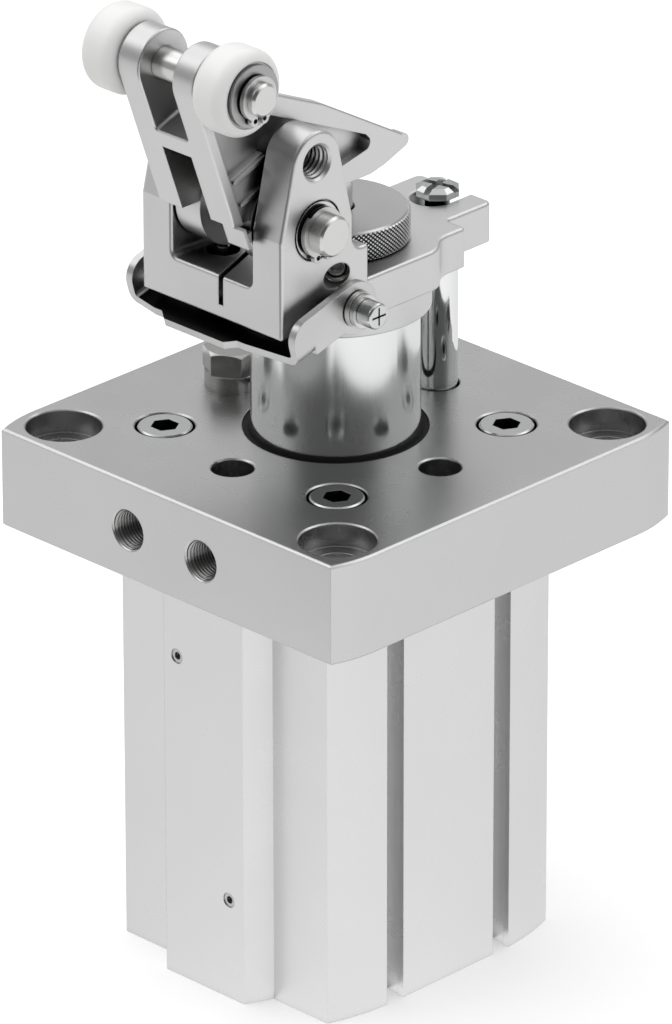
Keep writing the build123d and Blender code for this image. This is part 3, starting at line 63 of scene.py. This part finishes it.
def add_camera():
    """Camera at the photograph's angle."""
    azimuth, elevation = math.radians(camera_azimuth), math.radians(camera_elevation)
    backward = Vector(
        (
            math.cos(elevation) * math.cos(azimuth),
            math.cos(elevation) * math.sin(azimuth),
            math.sin(elevation),
        )
    )
    right = Vector((0, 0, 1)).cross(backward).normalized()
    up = backward.cross(right)
    turn = Matrix((right, up, backward)).transposed().to_4x4()
    turn = turn @ Matrix.Rotation(math.radians(-camera_roll), 4, "Z")
    data = bpy.data.cameras.new("camera")
    data.lens = camera_lens
    data.sensor_width = camera_sensor
    data.clip_end = camera_reach
    camera = bpy.data.objects.new("camera", data)
    camera.matrix_world = Matrix.Translation(camera_place) @ turn
    bpy.context.scene.collection.objects.link(camera)
    bpy.context.scene.camera = camera


# Studio; the levels are what metal shows of it, unless a comment says otherwise
white = (1, 1, 1, 1)
floor_half = 6.0
floor_colour = (0.86, 0.86, 0.86, 1)
floor_glow = 0.42  # added for the camera near the object, so little that the shadow shows
floor_glow_far = 0.60
floor_glow_edge = (0.25, 1.5)  # distances between which the glow grows
floor_level = 0.95
floor_slope = (0.10, -0.06, 0.0)  # how much brighter the floor is towards one side
floor_gap = (0.05, -1.0, 0.0)  # direction in which the far floor is dark
floor_gap_level = 0.24
floor_gap_edge = (0.80, 0.89)  # how close to that direction it starts and ends to darken
floor_gap_start = (0.300, 0.345)  # distances between which it darkens
world_light = 0.50  # what falls on everything that isn't a mirror
horizon_level = 0.38
horizon_slope = (-0.10, 0.08, 0.0)
camera_side = (0.707, -0.707, 0.0)  # direction in which the surround is dark
camera_side_level = 0.12
camera_side_edge = (0.15, 0.70)
band_level = 1.6
band_start = (0.48, 0.60)  # sines of the heights between which the ceiling brightens
band_end = (0.72, 0.86)  # and of those between which it fades overhead
overhead_level = 0.80
# Lamps: place, the point that they face, size, and radiance
overhead_lamp = ((-0.25, -0.15, 1.25), (0, 0, 0), (1.5, 1.5), 1.5)
side_lamp = ((1.0, 0.9, 0.25), (0, 0, 0.05), (1.0, 1.0), 0.9)


def fill(tree, node, values):
    """Set a node's inputs, by name or number, to plain values or to other nodes' outputs."""
    for key, value in values.items():
        if isinstance(value, bpy.types.NodeSocket):
            tree.links.new(value, node.inputs[key])
        else:
            node.inputs[key].default_value = value
    return node


def add_node(tree, kind, values=None, operation=None):
    """New node of a kind, set to its operation, with its inputs filled."""
    node = tree.nodes.new(kind)
    if operation:
        node.operation = operation
    return fill(tree, node, values or {})


def side_level(tree, direction, level, slope):
    """Brightness that changes evenly from one side of the studio to the other."""
    lean = add_node(tree, "ShaderNodeVectorMath", {0: direction, 1: slope}, "DOT_PRODUCT")
    total = add_node(tree, "ShaderNodeMath", {0: lean.outputs["Value"], 1: level}, "ADD")
    return total.outputs[0]


def step_level(tree, value, limits, before, after):
    """Brightness that changes softly from one level to another between two limits of a value."""
    step = tree.nodes.new("ShaderNodeMapRange")
    step.interpolation_type = "SMOOTHSTEP"
    fill(tree, step, {"From Min": limits[0], "From Max": limits[1]})
    fill(tree, step, {"To Min": before, "To Max": after, "Value": value})
    return step.outputs["Result"]


def add_world():
    """Studio surround: white behind the object, soft light, and a bright ceiling in metal."""
    world = bpy.data.worlds.new("studio")
    world.use_nodes = True
    tree = world.node_tree
    tree.nodes.clear()
    path = add_node(tree, "ShaderNodeLightPath").outputs
    direction = add_node(tree, "ShaderNodeTexCoord").outputs["Generated"]
    height = add_node(tree, "ShaderNodeSeparateXYZ", {0: direction}).outputs["Z"]
    horizon = side_level(tree, direction, horizon_level, horizon_slope)
    band = step_level(tree, height, band_start, horizon, band_level)
    sky = step_level(tree, height, band_end, band, overhead_level)
    towards = side_level(tree, direction, 0.0, camera_side)
    metal_level = step_level(tree, towards, camera_side_edge, sky, camera_side_level)
    soft, shine, seen = (
        add_node(tree, "ShaderNodeBackground", {"Color": white, "Strength": strength}).outputs[0]
        for strength in (world_light, metal_level, 1.0)
    )
    rays = {0: path["Is Glossy Ray"], 1: path["Is Transmission Ray"]}
    mirrored = add_node(tree, "ShaderNodeMath", rays, "MAXIMUM").outputs[0]
    lower = add_node(tree, "ShaderNodeMixShader", {0: mirrored, 1: soft, 2: shine}).outputs[0]
    shown = {0: path["Is Camera Ray"], 1: lower, 2: seen}
    upper = add_node(tree, "ShaderNodeMixShader", shown).outputs[0]
    add_node(tree, "ShaderNodeOutputWorld", {"Surface": upper})
    bpy.context.scene.world = world


def add_softbox(name, place, aim, size, radiance):
    """Square soft lamp of an even brightness, given as the radiance of its face."""
    data = bpy.data.lights.new(name, "AREA")
    data.shape = "RECTANGLE"
    data.size, data.size_y = size
    data.energy = radiance * math.pi * size[0] * size[1]
    lamp = bpy.data.objects.new(name, data)
    lamp.visible_glossy = False
    away = (Vector(place) - Vector(aim)).to_track_quat("Z", "Y").to_matrix().to_4x4()
    lamp.matrix_world = Matrix.Translation(Vector(place)) @ away
    bpy.context.scene.collection.objects.link(lamp)


def add_floor():
    """Plain pale floor that keeps the object's shadow."""
    mesh = bpy.data.meshes.new("floor")
    h = floor_half
    mesh.from_pydata([(-h, -h, 0), (h, -h, 0), (h, h, 0), (-h, h, 0)], [], [(0, 1, 2, 3)])
    floor = bpy.data.objects.new("floor", mesh)
    floor.location.z = floor_z
    bpy.context.scene.collection.objects.link(floor)
    material = bpy.data.materials.new("floor")
    material.use_nodes = True
    tree = material.node_tree
    tree.nodes.clear()
    path = add_node(tree, "ShaderNodeLightPath").outputs
    position = add_node(tree, "ShaderNodeTexCoord").outputs["Object"]
    reach = add_node(tree, "ShaderNodeVectorMath", {0: position}, "LENGTH")
    distance = reach.outputs["Value"]

    # To the camera it is pale, and brighter far away
    glow_level = step_level(tree, distance, floor_glow_edge, floor_glow, floor_glow_far)
    glow_share = {0: path["Is Camera Ray"], 1: glow_level}
    strength = add_node(tree, "ShaderNodeMath", glow_share, "MULTIPLY").outputs[0]
    glow = add_node(tree, "ShaderNodeEmission", {"Color": white, "Strength": strength})
    diffuse = add_node(tree, "ShaderNodeBsdfDiffuse", {"Color": floor_colour})
    both = add_node(tree, "ShaderNodeAddShader", {0: diffuse.outputs[0], 1: glow.outputs[0]})

    # In metal it is brighter towards one side, and dark far away in one direction
    outward = add_node(tree, "ShaderNodeVectorMath", {0: position}, "NORMALIZE")
    direction = outward.outputs["Vector"]
    level = side_level(tree, direction, floor_level, floor_slope)
    gap = side_level(tree, direction, 0.0, floor_gap)
    shut = step_level(tree, gap, floor_gap_edge, level, floor_gap_level)
    far = step_level(tree, distance, floor_gap_start, level, shut)
    mirrored = add_node(tree, "ShaderNodeEmission", {"Color": white, "Strength": far})

    shown = {0: path["Is Glossy Ray"], 1: both.outputs[0], 2: mirrored.outputs[0]}
    surface = add_node(tree, "ShaderNodeMixShader", shown).outputs[0]
    add_node(tree, "ShaderNodeOutputMaterial", {"Surface": surface})
    mesh.materials.append(material)


# Finishes
# Painted shade: ambient occlusion darkens the colour of narrow places, standing in for the shade
# in them
painted_shade_samples = 6
painted_shade_shut = 0.2  # how open a place is when it is darkest
edge_samples = 4
turned_rotation = 0.25  # turns the stretched shine across the grinding
line_stretch = 0.004  # of the noise's own scale, along the lines
line_detail = 2.0
grain_detail = 3.0
cloud_scale = 60.0
cloud_detail = 4.0
cloud_range = (0.3, 0.7)


def mix_colours(tree, share, first, second):
    """Colour between two others, by the share of the second."""
    mix = tree.nodes.new("ShaderNodeMix")
    mix.data_type = "RGBA"
    fill(tree, mix, {"Factor": share, "A": first, "B": second})
    return mix.outputs["Result"]


def add_noise(tree, place, scale, detail):
    """Value of a noise texture."""
    values = {"Vector": place, "Scale": scale, "Detail": detail}
    return add_node(tree, "ShaderNodeTexNoise", values).outputs["Fac"]


def add_bump(tree, height, depth, normal):
    """Bump of a depth in millimetres, on top of the normal so far."""
    bump = add_node(tree, "ShaderNodeBump", {"Distance": depth * MM, "Height": height})
    if normal:
        tree.links.new(normal, bump.inputs["Normal"])
    return bump.outputs["Normal"]


def finish(
    name,
    colour,
    metallic,
    roughness,
    grain=None,
    wander=0.0,
    edge=0.0,
    lines=None,
    painted_shade=None,
    turned=0.0,
):
    """Surface finish with fine grain, wandering roughness, softened edges and drawn lines.

    grain is (size in mm, depth in mm), lines is (width in mm, depth in mm, axis they run along),
    the tuple for painted shade is (reach in mm, how dark ambient occlusion paints narrow places,
    how open a place is when no shade is painted on it at all), turned is how much grinding round
    the Z axis stretches the shine.
    """
    material = bpy.data.materials.new(name)
    material.use_nodes = True
    tree = material.node_tree
    shader = tree.nodes["Principled BSDF"]
    plain = (*colour, 1)
    fill(tree, shader, {"Metallic": metallic, "Roughness": roughness, "Base Color": plain})
    place = add_node(tree, "ShaderNodeTexCoord").outputs["Object"]
    # Painted shade: the colour darkens where ambient occlusion finds narrow places
    if painted_shade:
        reach, shade_darkness, openness = painted_shade
        near = add_node(tree, "ShaderNodeAmbientOcclusion", {"Distance": reach * MM})
        near.samples = painted_shade_samples
        limits = {"Value": near.outputs["AO"], "From Min": painted_shade_shut, "From Max": openness}
        open_share = add_node(tree, "ShaderNodeMapRange", limits).outputs["Result"]
        dark = (*(c * shade_darkness for c in colour), 1)
        fill(tree, shader, {"Base Color": mix_colours(tree, open_share, dark, plain)})
    if turned:
        around = tree.nodes.new("ShaderNodeTangent")
        around.direction_type = "RADIAL"
        around.axis = "Z"
        fill(tree, shader, {"Anisotropic": turned, "Anisotropic Rotation": turned_rotation})
        fill(tree, shader, {"Tangent": around.outputs["Tangent"]})
    normal = None
    if edge:
        bevel = add_node(tree, "ShaderNodeBevel", {"Radius": edge * MM})
        bevel.samples = edge_samples
        normal = bevel.outputs["Normal"]
    if lines:
        width, depth, axis = lines
        scales = [line_stretch if a == axis else 1 for a in "XYZ"]
        stretch = add_node(tree, "ShaderNodeMapping", {"Vector": place, "Scale": scales})
        drawn = add_noise(tree, stretch.outputs["Vector"], 1 / (width * MM), line_detail)
        normal = add_bump(tree, drawn, depth, normal)
    if grain:
        size, depth = grain
        speck = add_noise(tree, place, 1 / (size * MM), grain_detail)
        normal = add_bump(tree, speck, depth, normal)
    if normal:
        fill(tree, shader, {"Normal": normal})
    if wander:
        cloud = add_noise(tree, place, cloud_scale, cloud_detail)
        rough = add_node(
            tree,
            "ShaderNodeMapRange",
            {
                "Value": cloud,
                "From Min": cloud_range[0],
                "From Max": cloud_range[1],
                "To Min": roughness - wander,
                "To Max": roughness + wander,
            },
        )
        fill(tree, shader, {"Roughness": rough.outputs["Result"]})
    return material


# The tuples for painted shade darken each finish's colour in its narrow places, as shade there
finishes = {
    "flange": finish(
        "milled_aluminium",
        (0.60, 0.605, 0.60),
        metallic=1.0,
        roughness=0.27,
        wander=0.015,
        edge=0.4,
        painted_shade=(8, 0.3, 0.6),
    ),
    "barrel": finish(
        "drawn_aluminium",
        (0.72, 0.72, 0.72),
        metallic=1.0,
        roughness=0.28,
        grain=(0.3, 0.001),
        wander=0.02,
        edge=0.3,
        lines=(0.5, 0.004, "Z"),
        painted_shade=(4, 0.5, 0.5),
    ),
    "cast": finish(
        "cast_silver",
        (0.68, 0.685, 0.68),
        metallic=1.0,
        roughness=0.36,
        grain=(0.3, 0.003),
        wander=0.02,
        edge=0.4,
        painted_shade=(9, 0.03, 0.38),
    ),
    "chrome": finish(
        "ground_chrome",
        (0.80, 0.805, 0.81),
        metallic=1.0,
        roughness=0.15,
        edge=0.2,
        turned=0.6,
    ),
    "steel": finish(
        "turned_steel",
        (0.68, 0.68, 0.67),
        metallic=1.0,
        roughness=0.24,
        grain=(0.2, 0.001),
        wander=0.04,
        edge=0.25,
        painted_shade=(2, 0.1, 0.45),
    ),
    "zinc": finish(
        "zinc_plate",
        (0.66, 0.67, 0.67),
        metallic=1.0,
        roughness=0.22,
        grain=(0.2, 0.001),
        wander=0.04,
        edge=0.15,
        painted_shade=(4, 0.08, 0.5),
    ),
    "spring_steel": finish(
        "spring_steel",
        (0.62, 0.62, 0.62),
        metallic=1.0,
        roughness=0.32,
        grain=(0.2, 0.001),
        wander=0.05,
        edge=0.2,
        painted_shade=(2, 0.1, 0.45),
    ),
    "dark_steel": finish(
        "dark_steel",
        (0.50, 0.50, 0.49),
        metallic=1.0,
        roughness=0.20,
        grain=(0.2, 0.001),
        wander=0.03,
        edge=0.3,
        painted_shade=(5, 0.2, 0.6),
    ),
    "knob": finish(
        "knob_steel",
        (0.63, 0.635, 0.63),
        metallic=1.0,
        roughness=0.26,
        wander=0.02,
        edge=0.05,
        painted_shade=(1.0, 0.15, 0.85),
    ),
    "roller": finish(
        "white_plastic",
        (0.92, 0.92, 0.91),
        metallic=0.0,
        roughness=0.34,
        grain=(0.4, 0.002),
        wander=0.03,
        edge=0.3,
    ),
    "seal": finish(
        "black_rubber",
        (0.010, 0.010, 0.010),
        metallic=0.0,
        roughness=0.6,
        grain=(0.2, 0.002),
        wander=0.05,
    ),
    "bearing": finish(
        "bronze",
        (0.45, 0.30, 0.15),
        metallic=1.0,
        roughness=0.35,
        grain=(0.3, 0.002),
        wander=0.05,
    ),
    "magnet": finish(
        "magnet_plastic",
        (0.03, 0.03, 0.035),
        metallic=0.0,
        roughness=0.5,
        grain=(0.3, 0.002),
        wander=0.05,
    ),
}
rubber_sheen = 0.2
fill(
    finishes["seal"].node_tree,
    finishes["seal"].node_tree.nodes["Principled BSDF"],
    {"Specular IOR Level": rubber_sheen},
)

# Finishes of single nodes and pieces
bright_chrome = finish(
    "bright_chrome",
    (0.82, 0.825, 0.83),
    metallic=1.0,
    roughness=0.07,
    edge=0.2,
    painted_shade=(6, 0.03, 0.6),
)
socket_zinc = finish(
    "socket_zinc",
    (0.66, 0.67, 0.67),
    metallic=1.0,
    roughness=0.22,
    edge=0.15,
    painted_shade=(7, 0.03, 0.75),
)
open_steel = finish(
    "open_steel",
    (0.66, 0.66, 0.65),
    metallic=1.0,
    roughness=0.2,
    edge=0.2,
)
washer_steel = finish(
    "washer_steel",
    (0.40, 0.405, 0.40),
    metallic=1.0,
    roughness=0.3,
    edge=0.2,
    painted_shade=(2.5, 0.1, 0.5),
)
# Copy of the cast finish with deeper and darker painted shade, for the lever
deep_shade_cast = finish(
    "deep_shade_cast",
    (0.68, 0.685, 0.68),
    metallic=1.0,
    roughness=0.36,
    grain=(0.3, 0.003),
    wander=0.02,
    edge=0.3,
    painted_shade=(14, 0.02, 0.58),
)
tapped = finish(
    "tapped_aluminium",
    (0.40, 0.40, 0.395),
    metallic=1.0,
    roughness=0.28,
    edge=0.05,
    painted_shade=(6, 0.1, 0.7),
)
node_finishes = {
    "guide_rod": bright_chrome,
    "lock_pin": open_steel,
    "roller_washers": washer_steel,
    "lever": deep_shade_cast,
    "flange_screws": socket_zinc,
}


def dress_nodes():
    """Give every CAD node its own finish, or else that of its material slot."""
    slots = {row["node"]: row["material_slot"] for row in frame["record"]["subparts"]}
    for name, node in frame["nodes"].items():
        node.data.materials[0] = node_finishes.get(name) or finishes[slots[name]]


# Painted shadow: the top of the bail's plate, which the yoke shades, is painted near black
plate_half_width = 0.0245  # in metres
plate_normal = (0, -0.2723, 0.9622)
plate_facing = 0.9  # how nearly a face looks along that normal
plate_shade_colour = (0.012, 0.012, 0.012, 1)


def paint_plate_shade(material):
    """Paint near-black shade on the top of the bail's plate between its arms, where the yoke
    shades it.
    """
    tree = material.node_tree
    base = tree.nodes["Principled BSDF"].inputs["Base Color"]
    places = add_node(tree, "ShaderNodeTexCoord").outputs
    normals = {0: places["Normal"], 1: plate_normal}
    facing = add_node(tree, "ShaderNodeVectorMath", normals, "DOT_PRODUCT").outputs["Value"]
    upward = add_node(tree, "ShaderNodeMath", {0: facing, 1: plate_facing}, "GREATER_THAN")
    across = add_node(tree, "ShaderNodeSeparateXYZ", {0: places["Object"]}).outputs["X"]
    inside = add_node(tree, "ShaderNodeMath", {0: across, 1: 0.0, 2: plate_half_width}, "COMPARE")
    both = {0: upward.outputs[0], 1: inside.outputs[0]}
    plate_shade_mask = add_node(tree, "ShaderNodeMath", both, "MULTIPLY").outputs[0]
    plain = base.links[0].from_socket
    tree.links.new(mix_colours(tree, plate_shade_mask, plain, plate_shade_colour), base)


def add_piece(name, points, faces, body, slot, hides=(), smooth=True):
    """Piece from points and faces in millimetres, in the finish of its slot."""
    mesh = bpy.data.meshes.new(name)
    mesh.from_pydata([tuple(c * MM for c in point) for point in points], [], faces)
    mesh.polygons.foreach_set("use_smooth", [smooth] * len(faces))
    mesh.materials.append(finishes[slot])
    piece = bpy.data.objects.new(name, mesh)
    bpy.context.scene.collection.objects.link(piece)
    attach(piece, body)
    if hides:
        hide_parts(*hides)
    return piece


# Threads of the tapped holes: radii of the wall and the crests, pitch, and reach from to
thread_around = 64
thread_per_pitch = 8
thread_ridge = 1.25  # height of a whole ridge, of which the part above 1 is cut off
port_thread = ((4.85, 4.285), 0.907, (0.4, 10.9))
port_mouth = (12.0, -56.5, 12.5)  # on the right
ear_thread = ((3.99, 3.35), 1.25, (0.7, 9.65))
ear_mouth = (22.7, -28.8, 106.8)


def add_thread(name, mouth, inward, radii, pitch, reach, body, slot):
    """Helical ridges in a tapped hole."""
    inward = Vector(inward)
    side = inward.orthogonal().normalized()
    other = inward.cross(side)
    wall, crest = radii
    rows = math.ceil((reach[1] - reach[0]) / pitch * thread_per_pitch)
    points, faces = [], []
    for row in range(rows + 1):
        depth = reach[0] + (reach[1] - reach[0]) * row / rows
        rise = min(1.0, (depth - reach[0]) / pitch)
        for step in range(thread_around):
            turn = step / thread_around
            phase = (depth / pitch - turn) % 1.0
            ridge = min(1.0, thread_ridge * (1 - abs(2 * phase - 1)))
            radius = wall - (wall - crest) * ridge * rise
            angle = math.tau * turn
            arm = side * math.cos(angle) + other * math.sin(angle)
            points.append(Vector(mouth) + inward * depth + arm * radius)
    for row in range(rows):
        for step in range(thread_around):
            a = row * thread_around + step
            b = row * thread_around + (step + 1) % thread_around
            faces.append((a, b, b + thread_around, a + thread_around))
    return add_piece(name, points, faces, body, slot)


# Diamond knurling of the adjusting knob
knob_r = 17.5
knob_low, knob_high = 73.02, 80.72
knob_bore_r = 4.3
knob_bore_break = 0.3
knob_stem_r = 10.5
knob_stem_low = 69.0
knob_rim_break = (0.35, 0.45)  # width and height of the break round the top
knob_under_step = 0.2
knob_ring_in = 1.6  # from the rim to the ring on the top
knurl_around = 92
knurl_rows = 6
knurl_depth = 0.5
knurl_flat = 0.5  # share of each diamond that its flat top takes
knurl_margin = (0.65, 0.6)  # below and above the knurling


def add_knob():
    """Knob with flat-topped diamonds round its rim, a turned top and a plain stem."""
    points, faces = [], []
    low, high = knob_low + knurl_margin[0], knob_high - knurl_margin[1]
    levels = 2 * knurl_rows
    rise = (high - low) / levels

    def place(step, radius, height):
        angle = math.tau * step / knurl_around
        points.append((radius * math.cos(angle), radius * math.sin(angle), height))
        return len(points) - 1

    valley_r = knob_r - knurl_depth
    valleys = [
        [place(s + 0.5 * (level % 2), valley_r, low + rise * level) for s in range(knurl_around)]
        for level in range(levels + 1)
    ]
    rims = {0: [], levels: []}
    for level in range(levels + 1):
        height = low + rise * level
        for s in range(knurl_around):
            middle = s + 0.5 * (level % 2) + 0.5
            left, right = valleys[level][s], valleys[level][(s + 1) % knurl_around]
            beside = s if level % 2 == 0 else (s + 1) % knurl_around
            west = place(middle - 0.5 * knurl_flat, knob_r, height)
            east = place(middle + 0.5 * knurl_flat, knob_r, height)
            crown = [west]
            if level > 0:
                south = place(middle, knob_r, height - knurl_flat * rise)
                below = valleys[level - 1][beside]
                faces += [(left, below, south, west), (below, right, east, south)]
                crown.append(south)
            crown.append(east)
            if level < levels:
                north = place(middle, knob_r, height + knurl_flat * rise)
                above = valleys[level + 1][beside]
                faces += [(left, west, north, above), (right, above, north, east)]
                crown.append(north)
            faces.append(tuple(crown))
            if level in rims:
                rims[level] += [left, west, east]

    def ring(radius, height):
        offsets = (0, 0.5 - 0.5 * knurl_flat, 0.5 + 0.5 * knurl_flat)
        return [place(s + o, radius, height) for s in range(knurl_around) for o in offsets]

    rings = [
        rims[levels],
        ring(valley_r, knob_high - knob_rim_break[1]),
        ring(valley_r - knob_rim_break[0], knob_high),
        ring(knob_r - knob_ring_in, knob_high),
        ring(knob_bore_r + knob_bore_break, knob_high),
        ring(knob_bore_r, knob_high - knob_bore_break),
        ring(knob_bore_r, knob_stem_low),
        ring(knob_stem_r, knob_stem_low),
        ring(knob_stem_r, knob_low),
        ring(valley_r - knob_under_step, knob_low),
        rims[0],
    ]
    for lower, upper in zip(rings, rings[1:]):
        for s in range(len(lower)):
            t = (s + 1) % len(lower)
            faces.append((lower[s], lower[t], upper[t], upper[s]))
    add_piece("knurled_knob", points, faces, "knob", "knob", ["adjuster_knob"], smooth=False)


# Slotted head of the guide rod's screw, which stands on its neck over the open slot
screw_place = (0.0, 34.0)
screw_head = (73.5, 76.0)  # heights of its underside and its top
screw_facets = 8
screw_r = 5.45  # to the corners between its facets
screw_bevel = (1.5, 0.9)
screw_slot = (0.85, 1.3)  # half width and depth of its two slots
screw_turn = 14.0  # of the slots
screw_neck = (3.0, 73.0)  # radius and lower end
screw_shank = (2.5, 55.0)


def add_guide_screw():
    """Faceted head with two crossing slots, on a neck and a shank."""
    body = bmesh.new()
    profile = [
        screw_shank,
        (screw_shank[0], screw_neck[1]),
        screw_neck,
        (screw_neck[0], screw_head[0]),
        (screw_r, screw_head[0]),
        (screw_r, screw_head[1] - screw_bevel[1]),
        (screw_r - screw_bevel[0], screw_head[1]),
    ]
    start = -math.radians(screw_turn)
    angles = [start + math.tau * (s + 0.5) / screw_facets for s in range(screw_facets)]
    rings = [
        [body.verts.new((radius * math.cos(a), radius * math.sin(a), height)) for a in angles]
        for radius, height in profile
    ]
    for lower, upper in zip(rings, rings[1:]):
        for s in range(screw_facets):
            t = (s + 1) % screw_facets
            body.faces.new((lower[s], lower[t], upper[t], upper[s]))
    body.faces.new(list(reversed(rings[0])))
    body.faces.new(rings[-1])
    mesh = bpy.data.meshes.new("slotted_screw")
    body.to_mesh(mesh)
    body.free()
    for half_size in ((2 * screw_r, screw_slot[0]), (screw_slot[0], 2 * screw_r)):
        mesh = cut_box(mesh, *half_size)
    mesh.transform(Matrix.Rotation(math.radians(screw_turn), 4, "Z"))
    mesh.transform(Matrix.Translation((screw_place[0], screw_place[1], 0)))
    mesh.transform(Matrix.Scale(MM, 4))
    mesh.materials.clear()
    mesh.materials.append(finishes["zinc"])
    piece = bpy.data.objects.new("slotted_screw", mesh)
    bpy.context.scene.collection.objects.link(piece)
    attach(piece, "rod")
    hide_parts("guide_rod_screw")


def cut_box(mesh, half_x, half_y):
    """Copy of the screw's mesh with a slot cut across its top."""
    cutter = bmesh.new()
    bmesh.ops.create_cube(cutter, size=2.0)
    low = screw_head[1] - screw_slot[1]
    for vertex in cutter.verts:
        vertex.co.x *= half_x
        vertex.co.y *= half_y
        vertex.co.z = low if vertex.co.z < 0 else screw_head[1] + 1
    cutter_mesh = bpy.data.meshes.new("cutter")
    cutter.to_mesh(cutter_mesh)
    cutter.free()
    tool = bpy.data.objects.new("cutter", cutter_mesh)
    blank = bpy.data.objects.new("blank", mesh)
    for obj in (tool, blank):
        bpy.context.scene.collection.objects.link(obj)
    cut = blank.modifiers.new("slot", "BOOLEAN")
    cut.object = tool
    cut.operation = "DIFFERENCE"
    cut.solver = "EXACT"
    graph = bpy.context.evaluated_depsgraph_get()
    result = bpy.data.meshes.new_from_object(blank.evaluated_get(graph))
    for obj in (tool, blank):
        bpy.data.objects.remove(obj)
    return result


# Set screw in the corner of the head, and the cone that its hole narrows with, as the radius
# and the depth of their rings
lock_mouth = (22.7, -22.7, 76.9)
lock_inward = (-0.70711, 0.70711, 0)
lock_cone = [(3.0, 3.6), (2.95, 3.65), (2.45, 4.5)]
socket_flat = 1.45  # half the width across the socket's flats
socket_r = 0  # stands for the socket's hexagon in a list of rings
lock_screw = [
    (2.9, 14.5),
    (2.98, 5.2),
    (2.3, 5.15),
    (2.1, 4.65),
    (1.8, 4.62),
    (1.65, 4.8),
    (socket_r, 4.85),
    (socket_r, 7.6),
]
turned_around = 96  # points on each ring


def add_turned(name, mouth, inward, rings, body, slot, hides=()):
    """Turned piece round an axis, closed at its last ring where it replaces a node."""
    inward = Vector(inward)
    side = Vector((0, 0, 1))
    other = inward.cross(side)
    sixth = math.tau / 6
    points, faces = [], []
    for radius, depth in rings:
        for step in range(turned_around):
            angle = math.tau * step / turned_around
            arm = side * math.cos(angle) + other * math.sin(angle)
            reach = radius or socket_flat / math.cos((angle + sixth / 2) % sixth - sixth / 2)
            points.append(Vector(mouth) + inward * depth + arm * reach)
    for row in range(len(rings) - 1):
        for step in range(turned_around):
            a = row * turned_around + step
            b = row * turned_around + (step + 1) % turned_around
            faces.append((a, b, b + turned_around, a + turned_around))
    if hides:
        last = (len(rings) - 1) * turned_around
        faces.append(tuple(range(last, last + turned_around)))
    return add_piece(name, points, faces, body, slot, hides, smooth=False)


add_camera()
add_world()
add_floor()
add_softbox("overhead", *overhead_lamp)
add_softbox("side", *side_lamp)
dress_nodes()
# Painted shade on the top of the bail's plate
paint_plate_shade(finishes["spring_steel"])
for side, name in ((-1, "left"), (1, "right")):
    mouth = (side * port_mouth[0], *port_mouth[1:])
    thread = add_thread(
        "port_thread_" + name, mouth, (0, 1, 0), *port_thread, "housing", "flange"
    )
    thread.data.materials[0] = tapped
    mouth = (side * ear_mouth[0], *ear_mouth[1:])
    add_thread("ear_thread_" + name, mouth, (-side, 0, 0), *ear_thread, "rod", "cast")
add_knob()
add_guide_screw()
cone = add_turned("lock_hole_cone", lock_mouth, lock_inward, lock_cone, "rod", "zinc")
cone.data.materials[0] = open_steel
add_turned(
    "socket_screw", lock_mouth, lock_inward, lock_screw, "rod", "steel", ["knob_lock_screw"]
)

bpy.context.scene.view_settings.view_transform = "Standard"
